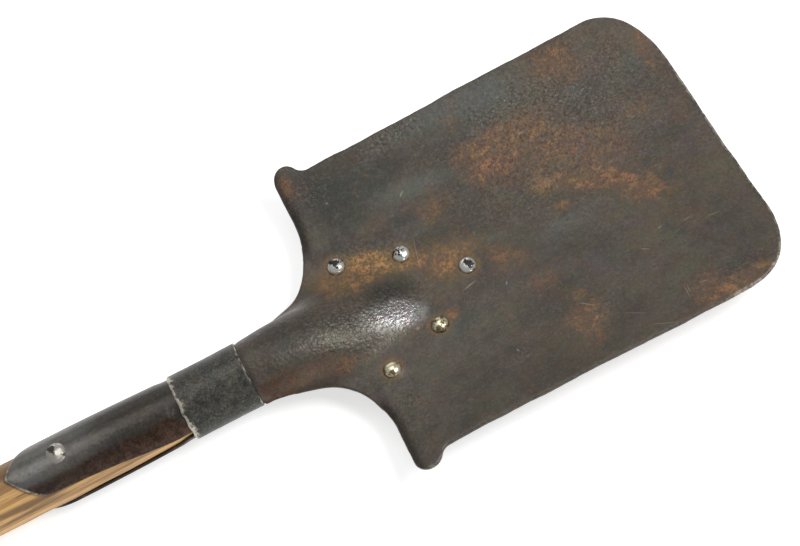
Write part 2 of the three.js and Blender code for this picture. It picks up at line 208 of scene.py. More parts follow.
class Sheet:
    """A pressed sheet, worked out flat and then folded: x along the handle, s across it along the metal."""

    def __init__(self, level, rise, thickness, side):
        self.level, self.rise, self.thickness, self.side = level, rise, thickness, side

    def section(self, x):
        """Radius and centre height of the ridge's arc, its angle, the fillet's radius and where it ends."""
        radius, fillet = ridge_radius(x), ridge_fillet(x)
        centre = self.rise(x) - radius
        foot = np.sqrt((radius + fillet) ** 2 - (fillet - centre) ** 2)
        return radius, centre, np.arctan2(foot, fillet - centre), fillet, foot

    def across(self, x, y):
        """The flat distance s of the point at y."""
        radius, _, arc, fillet, foot = self.section(x)
        on_fillet = arc - np.arcsin(np.clip((foot - y) / fillet, 0, 1))
        return arc * radius + np.where(y < foot, fillet * on_fillet, fillet * arc + y - foot)

    def face(self, x, s):
        radius, centre, arc, fillet, foot = self.section(x)
        a = np.abs(s)
        angle = a / radius
        turn = arc - (a - arc * radius) / fillet
        y = np.where(angle < arc, radius * np.sin(angle),
                     np.where(turn > 0, foot - fillet * np.sin(turn), foot + a - arc * (radius + fillet)))
        z = np.where(angle < arc, centre + radius * np.cos(angle),
                     np.where(turn > 0, fillet - fillet * np.cos(turn), 0.0))
        z = z + self.level(x, y)
        tube = tube_radius(x)
        in_tube = x < NECK_OPENS
        y = np.where(in_tube, tube * np.sin(a / tube), y)
        z = np.where(in_tube, tube * np.cos(a / tube), z)
        return np.stack([x, np.copysign(y, s), z], axis=-1)

    def at(self, x, s, depth):
        """The point at depth below the outer face, in the piece's own frame."""
        step = 0.05
        along = self.face(x + step, s) - self.face(x - step, s)
        over = self.face(x, s + step) - self.face(x, s - step)
        normal = np.cross(along, over)
        normal /= np.linalg.norm(normal, axis=-1, keepdims=True)
        points = self.face(x, s) - normal * np.asarray(depth)[..., None]
        return points * np.array([1.0, self.side, self.side])


def resample(points, spacing, closed=True):
    """Points at even spacing along a line."""
    line = np.asarray(points, float)
    if closed:
        line = np.vstack([line, line[:1]])
    lengths = np.concatenate([[0], np.cumsum(np.linalg.norm(np.diff(line, axis=0), axis=1))])
    count = max(8, int(lengths[-1] / spacing))
    wanted = np.linspace(0, lengths[-1], count, endpoint=not closed)
    return np.stack([np.interp(wanted, lengths, line[:, k]) for k in (0, 1)], axis=1)


def outward(loop):
    """Unit normals of a loop that runs anticlockwise, away from its inside."""
    along = np.roll(loop, -1, axis=0) - np.roll(loop, 1, axis=0)
    along /= np.linalg.norm(along, axis=1, keepdims=True)
    return np.stack([along[:, 1], -along[:, 0]], axis=1)


def loop_gap(points, loop):
    """Each point's distance from a loop, less than nothing outside it."""
    ahead = np.roll(loop, -1, axis=0)
    gaps = np.empty(len(points))
    for start in range(0, len(points), 2000):
        p = points[start:start + 2000, None, :]
        a, b = loop[None], ahead[None]
        edge = b - a
        t = np.clip(((p - a) * edge).sum(-1) / (edge ** 2).sum(-1), 0, 1)
        gap = np.linalg.norm(p - a - edge * t[..., None], axis=-1).min(1)
        crosses = (a[..., 1] > p[..., 1]) != (b[..., 1] > p[..., 1])
        rise = np.where(edge[..., 1] == 0, 1e-9, edge[..., 1])
        where_x = a[..., 0] + (p[..., 1] - a[..., 1]) / rise * edge[..., 0]
        inside = (crosses & (p[..., 0] < where_x)).sum(1) % 2 == 1
        gaps[start:start + 2000] = np.where(inside, gap, -gap)
    return gaps


def show(thing):
    bpy.context.scene.collection.objects.link(thing)


def new_piece(name, points, faces, node):
    """A smooth-shaded object that rides on the part's one body and replaces a CAD node."""
    mesh = bpy.data.meshes.new(name)
    mesh.from_pydata(row_frame(points).tolist(), [], faces)
    mesh.validate()
    mesh.update()
    mesh.polygons.foreach_set("use_smooth", [True] * len(mesh.polygons))
    piece = bpy.data.objects.new(name, mesh)
    show(piece)
    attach(piece, "root")
    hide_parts(node)
    return piece


def paint(piece, name, values):
    """Stores one number per vertex for the piece's material."""
    layer = piece.data.attributes.new(name, "FLOAT", "POINT")
    layer.data.foreach_set("value", np.asarray(values, np.float32))


def flat_blank(loop, inner, spacing):
    """The blank's vertices, first those of its inner loop, and the triangles between them."""
    low, high = loop.min(0), loop.max(0)
    rows = np.arange(low[1], high[1], spacing * 0.87)
    lattice = np.array([(x + (spacing / 2 if k % 2 else 0), s)
                        for k, s in enumerate(rows) for x in np.arange(low[0], high[0], spacing)])
    lattice = lattice[loop_gap(lattice, inner) > spacing * 0.55]
    flat = np.vstack([inner, lattice])
    ring = [(i, (i + 1) % len(inner)) for i in range(len(inner))]
    coords, _, faces, origins, _, _ = geometry.delaunay_2d_cdt([Vector(p) for p in flat], ring, [], 1, 1e-5)
    assert len(coords) == len(flat), "the outline crosses itself"
    return flat, [tuple(origins[i][0] for i in face) for face in faces]


def sheet_piece(name, sheet, loop, spacing, node):
    """A pressed sheet with a rounded edge all round."""
    loop = resample(loop, spacing * 0.75)
    normals = outward(loop)
    thick = sheet.thickness(loop[:, 0], sheet.face(loop[:, 0], loop[:, 1])[:, 1])
    radius = thick * 0.42
    inner = loop - normals * radius[:, None]
    flat, triangles = flat_blank(loop, inner, spacing)
    x, s = flat[:, 0], flat[:, 1]
    y = sheet.face(x, s)[..., 1]
    points = [sheet.at(x, s, np.zeros(len(x))), sheet.at(x, s, sheet.thickness(x, y))]
    flats = [flat, flat]
    total, count = len(flat), len(inner)
    polygons = triangles + [tuple(i + total for i in reversed(face)) for face in triangles]
    loops = [np.arange(count)]
    offset = 2 * total
    for degrees, bottom in [(30, 0), (60, 0), (90, 0), (90, 1), (60, 1), (30, 1)]:
        turn = math.radians(degrees)
        out = loop - normals * (radius * (1 - math.sin(turn)))[:, None]
        depth = radius * (1 - math.cos(turn))
        depth = thick - depth if bottom else depth
        points.append(sheet.at(out[:, 0], out[:, 1], depth))
        flats.append(out)
        loops.append(offset + np.arange(count))
        offset += count
    loops.append(total + np.arange(count))
    for upper, lower in zip(loops, loops[1:]):
        for i in range(count):
            j = (i + 1) % count
            polygons.append((int(upper[j]), int(upper[i]), int(lower[i]), int(lower[j])))
    piece = new_piece(name, np.vstack(points), polygons, node)
    paint(piece, "edge_gap", np.maximum(loop_gap(np.vstack(flats), loop), 0))
    return piece


def arc_points(centre, radii, start, end, count):
    angles = np.linspace(start, end, count)
    return np.stack([centre[0] + radii[0] * np.cos(angles), centre[1] + radii[1] * np.sin(angles)], axis=1)


def bezier(a, b, c, d, count):
    t = np.linspace(0, 1, count)[:, None]
    a, b, c, d = (np.array(p, float) for p in (a, b, c, d))
    return a * (1 - t) ** 3 + 3 * b * t * (1 - t) ** 2 + 3 * c * t ** 2 * (1 - t) + d * t ** 3


def tongue_edge(angle, shoulder):
    """The flat edge of half the tongue, from its tip to the neck, at full width from the shoulder on."""
    x = np.concatenate([TIP_X + (shoulder - TIP_X) * np.linspace(0, 1, 18) ** 1.5,
                        np.linspace(shoulder + 2, NECK_OPENS - 1, 50)])
    t = np.clip((x - TIP_X) / (shoulder - TIP_X), 0, 1)
    half = np.radians(angle(x)) * np.maximum(1 - (1 - t) ** 1.6, 0.03)
    return np.stack([x, half * tube_radius(x)], axis=1)


def shoulder_edge(horn_y, horn_radius, notch_lift, swell):
    """The plan of one side's neck edge, shoulder, horn and notch."""
    horn = (horn_radius - 0.6, horn_y)
    notch_y = NOTCH_RADIUS + notch_lift
    notch_x = horn[0] + math.sqrt((horn_radius + NOTCH_RADIUS) ** 2 - notch_y ** 2)
    flank = math.atan2(notch_y, notch_x - horn[0])
    flare_x = -FLARE[0] - 0.6
    neck = np.linspace(NECK_OPENS + 0.6, flare_x, 12)
    neck_y = 15.1 + (NECK_HALF_WIDTH - 15.1) * ease(NECK_OPENS, flare_x + 4, neck)
    flare = arc_points((flare_x, NECK_HALF_WIDTH + FLARE[1]), FLARE, -math.pi / 2, 0, 60)[1:]
    curve = np.vstack([np.stack([neck, neck_y], axis=1), flare])
    curve[:, 1] += profile(*swell)(curve[:, 0])
    return np.vstack([
        curve,
        arc_points(horn, (horn_radius,) * 2, math.pi, flank, 26),
        arc_points((notch_x, horn[1] + notch_y), (NOTCH_RADIUS,) * 2, math.pi + flank, 1.5 * math.pi, 12),
    ])


def plan_to_flat(sheet, plan):
    """Plan points (x, y >= 0) to the sheet's flat (x, s)."""
    return np.stack([plan[:, 0], sheet.across(plan[:, 0], plan[:, 1])], axis=1)


def both_sides(upper, lower):
    """One anticlockwise loop from two edges that both run from the tip, lower given with positive s."""
    return np.vstack([lower * (1, -1), upper[::-1]])


def dented(loop, seed):
    """A flat loop with small dents all round."""
    normals = outward(loop)
    along = np.concatenate([[0], np.cumsum(np.linalg.norm(np.diff(loop, axis=0), axis=1))])
    bumps = 0.16 * wobble(along, 0 * along, 24, seed) + 0.07 * wobble(along, 0 * along, 5, seed + 1)
    return loop + normals * bumps[:, None] * ease(-30, 5, loop[:, 0])[:, None]


blade_form = Sheet(blade_height, ridge_rise, blade_sheet, 1)
strap_form = Sheet(back_height, back_rise, strap_sheet, -1)


def make_blade():
    far_upper = bezier((150, 75.1), (167, 75.1), (176.4, 63.2), (end_x(37), 37), 40)
    far_lower = bezier((154, 75.6), (173, 76.0), (184, 66.8), (end_x(-44), 44), 40)
    side_upper = [(34, 74.1), (60, 74.4), (90, 74.9)]
    side_lower = [(34, 74.3), (60, 74.5), (90, 74.8)]
    upper = np.vstack([shoulder_edge(73.9, 6.4, 0.4, UPPER_SWELL), side_upper, far_upper])
    lower = np.vstack([shoulder_edge(74.5, 6.6, 0.1, LOWER_SWELL), side_lower, far_lower])
    edges = [np.vstack([tongue_edge(tongue_angle, TONGUE_SHOULDER), plan_to_flat(blade_form, plan)])
             for plan in (upper, lower)]
    loop = dented(resample(both_sides(*edges), 0.8), 21)
    return sheet_piece("spade_blade", blade_form, loop, 1.5, "blade")


def make_strap():
    neck = [(NECK_OPENS + 0.6, 13.4), (-32, 14.4), (-22, 16.6), (-12, 22.5)]
    shield = bezier((3, 33.2), (6, 36.4), (11, 36.4), (16, 34.6), 14)
    point = bezier((42, 25.8), (50, 20), (66.7, 8), (66.7, 0), 30)
    plan = resample(np.vstack([neck, shield, [(38, 27.6)], point]), 0.8, closed=False)
    edge = np.vstack([tongue_edge(strap_angle, TONGUE_SHOULDER + 9), plan_to_flat(strap_form, plan)])
    loop = both_sides(edge, edge[:-1])
    return sheet_piece("rear_strap_sheet", strap_form, loop, 1.8, "rear_strap")


def ring_point(x, radius, turn):
    """Points round the handle's axis, in the order of their angles."""
    return np.stack([np.broadcast_to(x, turn.shape), radius * np.cos(turn), radius * np.sin(turn)], axis=1)


def full_turn(count):
    return np.linspace(0, 2 * math.pi, count, endpoint=False)


def revolved(rings, closed=False):
    """Quads between rings of equal length; closed joins the last ring to the first, else both are capped."""
    around, count = len(rings[0]), len(rings)
    faces = []
    for i in range(count if closed else count - 1):
        k = (i + 1) % count
        for j in range(around):
            n = (j + 1) % around
            faces.append((k * around + j, k * around + n, i * around + n, i * around + j))
    if not closed:
        last = (count - 1) * around
        faces.append(tuple(range(around)))
        faces.append(tuple(last + j for j in reversed(range(around))))
    return faces


def make_collar():
    """A ring with uneven rims, the one towards the butt more so."""
    turn = full_turn(220)
    ring_x, ring_y = 40 * np.cos(turn), 40 * np.sin(turn)
    chips = 0.28 * wobble(ring_x, ring_y, 22, 31) + 0.12 * wobble(ring_x, ring_y, 5, 32)
    fray = 0.12 * wobble(ring_x, ring_y, 12, 33)
    inner = COLLAR_RADIUS - 0.85
    outer = COLLAR_RADIUS + 0.12
    rings, rims = [], []

    def add(x, radius, rim):
        shape = radius + 0.05 * wobble(ring_x + 3 * x, ring_y, 30, 34) * (radius > inner + 0.2)
        rings.append(ring_point(x, shape, turn))
        rims.append(np.full(len(turn), rim))

    left = COLLAR_START + 0.55 + chips
    right = COLLAR_END + 0.1 + fray
    add(left + 0.1, inner, 0.6)
    add(left, inner + 0.2, 1.0)
    add(left + 0.05, inner + 0.62 + 0.1 * chips, 1.0)
    add(left + 0.35, outer - 0.1, 1.0)
    add(left + 0.9, outer, 0.85)
    for t in np.linspace(0.04, 0.95, 34):
        waist = 0.12 * math.sin(math.pi * t)
        add(left + (right - left) * t, outer - waist, max(0.0, 0.9 - 8 * t))
    add(right - 0.9, outer, 0.15)
    add(right - 0.35, outer - 0.08, 0.5)
    add(right - 0.05, inner + 0.55, 0.7)
    add(right, inner + 0.2, 0.7)
    add(right - 0.1, inner, 0.4)
    points = np.vstack(rings)
    piece = new_piece("collar_ring", points, revolved(rings, closed=True), "collar")
    paint(piece, "rim", np.concatenate(rims))
    # Painted shade on the collar's side away from the lights.
    paint(piece, "painted_shade_side", painted_shade_side(*points.T))
    return piece


def handle_outline():
    """The wood's (x, radius) from the butt's flat to the neck: knob, waist and shaft."""
    centre = BUTT_X + math.sqrt(KNOB_RADIUS ** 2 - BUTT_RADIUS ** 2)
    ball = arc_points((centre, 0), (KNOB_RADIUS,) * 2, math.pi - math.asin(BUTT_RADIUS / KNOB_RADIUS),
                      math.pi / 2 - 0.62, 40)
    end = ball[-1]
    leave = end + 7 * np.array([math.cos(0.62), -math.sin(0.62)])
    waist = bezier(end, leave, (end[0] + 14, 13.8), (end[0] + 44, 13.9), 34)[1:]
    shaft_x = np.arange(waist[-1][0] + 1.8, NECK_OPENS, 1.8)
    shaft = profile((-246, 13.9), (-210, 13.9), (-190, 13.65), (-164, 13.6), (-160, 13.65), (-146, 13.65),
                    (-86, 12.86), (-81, 12.4), (-46, 12.4))
    disc = [(BUTT_X, r) for r in (0.02, 3, 6, 8.4)] + [(BUTT_X + 0.12, 9.5)]
    return np.vstack([disc, ball[1:], waist, np.stack([shaft_x, shaft(shaft_x)], axis=1)])


def make_handle():
    """The wood, with its flattened end inside the neck."""
    turn = full_turn(110)
    ring_y, ring_z = 9 * np.cos(turn), 9 * np.sin(turn)
    rings = []
    for x, radius in handle_outline():
        dents = 0.09 * wobble(x + 0 * turn, ring_y, 34, 41) + 0.05 * wobble(ring_z + 0.3 * x, ring_y, 9, 42)
        rings.append(ring_point(x, radius + dents * min(1, radius / 13), turn))
    width = profile((NECK_OPENS, 12.3), (-36, 12.7), (-24, 12.8), (-10, 12), (0, 10.6), (10, 8), (16, 5))
    for x in np.arange(-44.0, 15.1, 2.5):
        top = float(blade_height(x, 0.0) + ridge_rise(x) - blade_sheet(x, 0.0)) - 0.15
        bottom = float(-back_height(x, 0.0) - back_rise(x)) + STRAP_SHEET + 0.15
        rounding = math.sqrt(1 - (max(x - 3, 0) / 12.6) ** 2)
        half = (top - bottom) / 2 * rounding
        rings.append(np.stack([np.full(len(turn), x), float(width(x)) * rounding * np.cos(turn),
                               (top + bottom) / 2 + half * np.sin(turn)], axis=1))
    return new_piece("wooden_handle", np.vstack(rings), revolved(rings), "handle")


# A rivet's heights over its place (seat under the head, tail behind), its head's radius, height and how flat
# the head is, and the middle of the dark spot on it, partly tarnished metal and partly a painted dark
# reflection.
Rivet = namedtuple("Rivet", "seat tail head height flatness spot")


def rivet_outline(form):
    """(radius, height) from the middle of the head down to the middle of the tail."""
    line = []
    for t in np.linspace(0, 1, 15)[1:]:
        angle = t * math.pi / 2
        line.append((form.head * math.sin(angle),
                     form.seat + form.height * (1 - (1 - math.cos(angle)) ** form.flatness)))
    shank, rim = 2.4, form.head * 0.9
    line += [(form.head * 0.97, form.seat - 0.25), (shank, form.seat - 0.25), (shank, form.tail + 0.25),
             (rim, form.tail + 0.2)]
    for t in np.linspace(1, 0.08, 8):
        angle = t * math.pi / 2
        line.append((rim * math.sin(angle), form.tail - 1.1 * math.cos(angle)))
    return line


def rivet_piece(name, turned, place, form, seed, node):
    """A driven rivet: a head with small hammer marks, its shank, and a low tail behind."""
    turn = full_turn(48)
    rings, reflection_spot_masks = [], []
    for radius, z in rivet_outline(form):
        x, y = radius * np.cos(turn), radius * np.sin(turn)
        on_head = z > form.seat
        dent = 0.06 * wobble(x, y, 5, seed) * on_head
        rings.append(np.stack([x * (1 + 0.02 * math.sin(seed)), y, z + dent], axis=1))
        # Where the head's dark spot lies: partly tarnished metal, partly a painted dark reflection.
        reflection_spot_masks.append(ease(0.8 * form.head, 0, np.hypot(x - form.spot[0], y - form.spot[1])) * on_head)
    points = np.vstack(rings) @ turned.T + place
    piece = new_piece(name, points, revolved(rings), node)
    paint(piece, "reflection_spot_mask", np.concatenate(reflection_spot_masks))
    return piece


def blade_rivet_place(x, y):
    """Rotation and place of a rivet that stands square on the blade's front."""
    x, y = np.array([x]), np.array([y])
    slope_x = float((blade_height(x + 1, y) - blade_height(x - 1, y))[0]) / 2
    slope_y = float((blade_height(x, y + 1) - blade_height(x, y - 1))[0]) / 2
    normal = Vector((-slope_x, -slope_y, 1)).normalized()
    turn = Vector((0, 0, 1)).rotation_difference(normal).to_matrix()
    return np.array(turn), np.array([x[0], y[0], blade_height(x, y)[0]])


def make_rivets():
    """The five rivets of the blade, then the one through the handle."""
    form = Rivet(seat=0.05, tail=-(BLADE_SHEET + STRAP_SHEET + 0.2), head=3.9, height=2.4, flatness=1.0,
                 spot=(0.5, 0.1))
    rivets = []
    for number, (x, y) in enumerate(BLADE_RIVETS, 1):
        turned, place = blade_rivet_place(x, y)
        node = f"blade_rivet_{number}"
        rivets.append(rivet_piece(f"rivet_{number}", turned, place, form, 50 + number, node))
    face = float(tube_radius(HANDLE_RIVET[0]))
    form = Rivet(seat=face - 0.45, tail=-face - 0.1, head=4.7, height=1.5, flatness=0.55, spot=(-1.0, 2.1))
    place = np.array([*HANDLE_RIVET, 0])
    rivets.append(rivet_piece("rivet_through_handle", np.eye(3), place, form, 61, "handle_rivet"))
    return rivets


# Where the blade's steel has changed: soft patches, each (x, y, half length, half width, turn in degrees,
# strength), named after what the material makes of them.
PATCHES = {
    "rust": (
        (90, 43, 14, 7.5, 0, 1.0), (108, 44, 13, 8, 0, 0.9), (84, 33, 8, 6, 0, 0.6),
        (100, 29, 15, 9, -10, 0.72), (120, 29, 15, 12, 0, 0.55), (117, 10.5, 10, 4, -22, 1.1),
        (132, 4, 10, 5, -35, 0.85), (141, -8, 9, 6, -30, 0.75), (135, 18, 11, 9, 0, 0.5),
        (132, 67, 8, 5, 0, 0.8), (136, 58, 12, 6, -20, 0.7), (171, 54, 4, 8, -10, 0.9),
        (157, 28, 7, 5, 0, 0.4), (173, 18, 4, 7, 0, 0.5), (173, 42, 5, 8, 0, 0.35),
        (93, -50, 9, 9, 0, 0.95), (85, -24, 7, 6, 0, 0.5), (144, -62, 9, 8, 0, 0.6),
        (157, -71, 21, 4.5, 3, 0.9), (57, 32, 9, 6, 0, 0.5), (78, 47, 6, 6, 0, 0.3), (82, 62, 4, 4, 0, 0.5),
        (3, 72, 4, 4, 0, 0.9), (4, 65, 4, 4, 0, 0.35), (45, -9, 7, 4, 0, 0.5), (72, -3, 6, 4, 0, 0.5),
        (77, -10, 9, 5, 0, 0.6), (42.5, -18.5, 3, 2.6, 0, 1.3), (107, 3, 3, 2, -10, 0.9),
        (-12, -17, 12, 3.5, -8, 0.8), (-36, -15, 12, 3, 0, 0.9), (88, 5, 40, 14, 0, 0.15),
        (150, 12, 22, 22, 0, 0.22), (35, 70, 10, 4, 0, 0.25), (62, -57, 9, 8, 0, 0.2),
        (6, 12, 12, 5, -10, 0.45), (90, -66, 14, 7, 0, 0.35), (150, 66, 20, 9, -10, 0.3),
    ),
    "ochre": (
        (21, 23.5, 11, 4.0, -17, 1.3), (36, 14, 10, 5, -17, 0.68), (49, 0, 7, 5, 0, 0.35),
        (-1, 27, 9, 8, 0, 0.45), (9, 16, 14, 7, -10, 0.55), (51, 7, 12, 10, 0, 0.45),
        (62, 6, 10, 5, 0, 0.35), (95, -40, 4, 4, 0, 0.5), (31, 34, 8, 5, 0, 0.25),
        (118, 10, 6, 3, -20, 0.5), (20, 15, 10, 5, -10, 0.3), (50, 28, 10, 5, 0, 0.25),
        (104, 15, 7, 5, 0, 0.5), (150, -20, 30, 16, 0, 0.28), (60, 17, 12, 6, 0, 0.2),
        (118, 28, 12, 6, 0, 0.2),
    ),
    "grey": (
        (54, 44, 18, 5, -6, 0.9), (78, 69, 26, 6, 0, 0.9), (100, 63, 15, 9, 0, 0.7),
        (39, -29, 15, 8, 0, 0.4), (56, -25, 9, 6, 0, 0.3), (103, -5, 14, 5, 10, 0.7),
        (75, 4.5, 9, 5, 0, 0.35), (104, 21, 3, 4, 0, 0.6), (166, 48, 6, 7, 0, 0.45),
        (133, 49, 6, 4, 0, 0.5), (117, -14, 12, 8, 0, 0.25), (145, 46, 12, 6, 0, 0.3),
    ),
    "dark": (
        (18.5, 56, 8, 7, 0, 1.0), (32, 59, 22, 9, 0, 0.85), (52, 57, 20, 6, 0, 0.45),
        (32, 45, 15, 8, 0, 0.5), (20, 70, 14, 6, 0, 0.65), (36, 72, 10, 5, 0, 0.55), (44, 33, 6, 3, 0, 0.5),
        (33, 31, 9, 4, 0, 0.6), (60, -68, 40, 7, 0, 0.35), (62, -56, 26, 12, 0, 0.2),
        (76, 45, 9, 7, 0, 0.5), (76, 14, 10, 9, 0, 0.5), (65, 1, 9, 6, 0, 0.6), (47, 17, 8, 5, 0, 0.6),
        (-22, 0, 16, 10, 0, 0.6), (133, 71, 9, 5, 0, 0.8), (32, 20, 28, 16, -15, 0.4),
        (20, -1, 8, 5, -20, 0.5), (62, 42, 8, 6, 0, 0.3), (20, 44, 9, 6, 0, 0.3), (7, 35, 7, 4, 0, 0.6),
        (60, 17, 9, 5, 0, 0.4), (80, -68, 26, 5, 0, 0.3), (24, 4, 10, 4, -25, 0.8), (36, -12, 5, 4, 0, 0.6),
    ),
    "pitted": (
        (55, 70, 15, 6, 0, 1.0), (11, 64, 11, 13, 0, 0.5), (9, -52, 9, 20, 0, 0.5),
        (12, -4, 26, 14, 0, 0.65), (120, 34, 56, 34, 0, 0.75), (100, 50, 22, 22, 0, 0.3),
        (22, 24, 16, 8, -17, 0.6), (94, -50, 12, 10, 0, 0.5), (140, 62, 20, 12, 0, 0.3),
        (155, -66, 24, 8, 0, 0.4), (-22, 0, 26, 16, 0, 0.32), (62, -52, 5, 5, 0, 0.4),
    ),
    "bright": (
        (26, -8, 8, 5.2, -25, 1.2), (15, -8, 9, 6, -10, 0.75), (13, -33, 5, 3, 0, 0.4),
    ),
}
# Dark streaks in the wood, each (x, distance across the shaft, half length, half width, turn, strength).
GRAIN_STREAKS = (
    (-158, -6.5, 22, 1.6, -4, 1.0), (-152, -10, 26, 1.0, -2, 0.7), (-163, 11.5, 22, 4.2, 0, 1.4),
    (-110, -12.2, 20, 0.7, 2, 0.5), (-175, 3, 30, 1.2, 1, 0.5),
)
# Scratches and nicks on the blade, each (x, y, half length, half width, turn in degrees).
SCRATCHES = (
    (41.6, 15, 12, 0.34, 77), (95, -44.6, 3.6, 0.5, -40), (97, -46.4, 2.4, 0.4, -35),
    (129, -34.6, 3, 0.45, -33), (139, -28.4, 2, 0.5, 8), (135.4, -63, 5.5, 0.4, 88),
    (136.6, -62, 3.5, 0.35, 86), (112, -60.5, 6, 0.3, -32), (143.5, -62.2, 2.6, 0.45, -12),
    (60.8, -49.6, 1.6, 0.7, -70), (121, -72, 9, 0.3, -26), (27.2, -17.2, 1.6, 1.1, 20),
    (16.9, 55.9, 1.0, 0.8, 0), (106.8, 42.6, 1.4, 0.6, -20), (47.8, 43.5, 2.6, 0.6, 40),
    (151, -31, 3, 0.35, 4), (162, -35, 4, 0.3, -8), (70, -17.6, 1.6, 0.7, 60),
    (55.5, -10.2, 5, 0.7, 12),
)


def soft_patches(x, y, patches):
    """Overlapping soft ellipses, added up."""
    total = np.zeros(len(x))
    for patch_x, patch_y, half_x, half_y, turn, strength in patches:
        c, s = math.cos(math.radians(turn)), math.sin(math.radians(turn))
        along = (c * (x - patch_x) + s * (y - patch_y)) / half_x
        over = (c * (y - patch_y) - s * (x - patch_x)) / half_y
        total += strength * np.exp(-0.8 * (along ** 2 + over ** 2) ** 1.2)
    return np.clip(total, 0, 1)


def piece_points(piece):
    """The piece's vertices, in millimetres from the shoulders and the handle's axis."""
    count = len(piece.data.vertices)
    values = np.empty(count * 3)
    piece.data.vertices.foreach_get("co", values)
    return (values.reshape(-1, 3) - (SHOULDER_X, 0, AXIS_Z)) / MM


def paint_blade(blade):
    """Where the blade's material changes."""
    x, y, z = piece_points(blade).T
    for name, patches in PATCHES.items():
        paint(blade, name, soft_patches(x, y, patches))
    rings = np.zeros(len(x))
    for rivet_x, rivet_y in BLADE_RIVETS:
        gap = np.hypot(x - rivet_x, y - rivet_y) - 4.2
        rings = np.maximum(rings, np.exp(-np.clip(gap, 0, 20) / 1.3))
    paint(blade, "rivet_rings", rings)
    worn = 0.45 * ease(150, 170, x) + 0.9 * ease(162, 176, x - 0.3 * y) + 0.5 * ease(74, 82, -y)
    worn = worn + ease(TONGUE_SHOULDER + 4, TIP_X + 4, x)
    paint(blade, "edge_wear", np.clip(worn, 0.08, 1))
    paint(blade, "socket", ease(-44, -50, x))
    paint(blade, "tip_polish", ease(-95, -150, x))
    # Painted shade on the socket's side away from the lights.
    paint(blade, "painted_shade_side", painted_shade_side(x, y, z))
    paint(blade, "tip_edge", ease(-146, -155, x) * (0.4 + 0.6 * ease(3, -3, y)))
    paint(blade, "shoulder_edge", ease(3.2, 0.6, x) * ease(26, 40, np.abs(y)) * ease(-3, -1, x))


def paint_handle(handle):
    """Dark streaks of the grain where the wood shows beside the tongue."""
    x, y, z = piece_points(handle).T
    across = y * math.cos(ROLL) + z * math.sin(ROLL)
    front = ease(-2, 2, z * math.cos(ROLL) - y * math.sin(ROLL))
    paint(handle, "stain", front * soft_patches(x, across, GRAIN_STREAKS))


